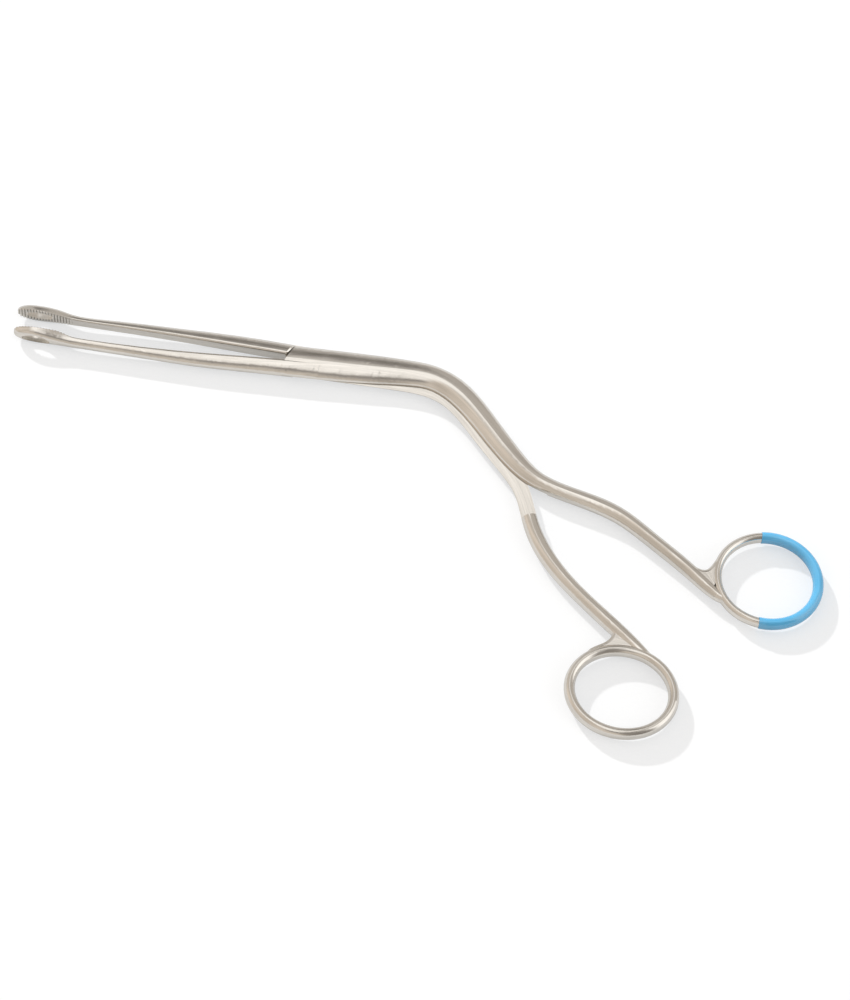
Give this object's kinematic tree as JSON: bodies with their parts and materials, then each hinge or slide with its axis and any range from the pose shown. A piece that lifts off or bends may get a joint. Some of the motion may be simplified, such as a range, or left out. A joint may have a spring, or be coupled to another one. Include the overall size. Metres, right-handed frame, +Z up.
{
  "type": "magill forceps",
  "caption": "Angled grasping forceps with a half lap joint, fenestrated serrated oval jaws and finger rings, one ring coated blue.",
  "frame": {"origin": "middle of the underside of the instrument as it lies flat at rest, jaws open by 3.3 degrees", "axes": "+X along the shaft from the jaws towards the ring end, +Y in the plane of the levers towards the high jaw's side, +Z up from the surface it lies on"},
  "size_m": [0.2478, 0.1165, 0.0068],
  "materials": {
    "satin_steel": "satin ground and tumbled stainless steel",
    "pin_steel": "stainless steel, ground flush with the shaft",
    "blue_coat": "glossy dipped plastic coat"
  },
  "bodies": {
    "front": {"front_lever": "satin_steel", "pivot_pin": "pin_steel", "ring_coat": "blue_coat"},
    "back": {"back_lever": "satin_steel"}
  },
  "joints": [
    {"name": "jaw_pivot", "type": "hinge", "parent": "front", "child": "back", "pos_m": [-0.02981, 0.05019, 0.00339], "axis": [0, 0, -1], "range_deg": [-3.25, 25]}
  ]
}
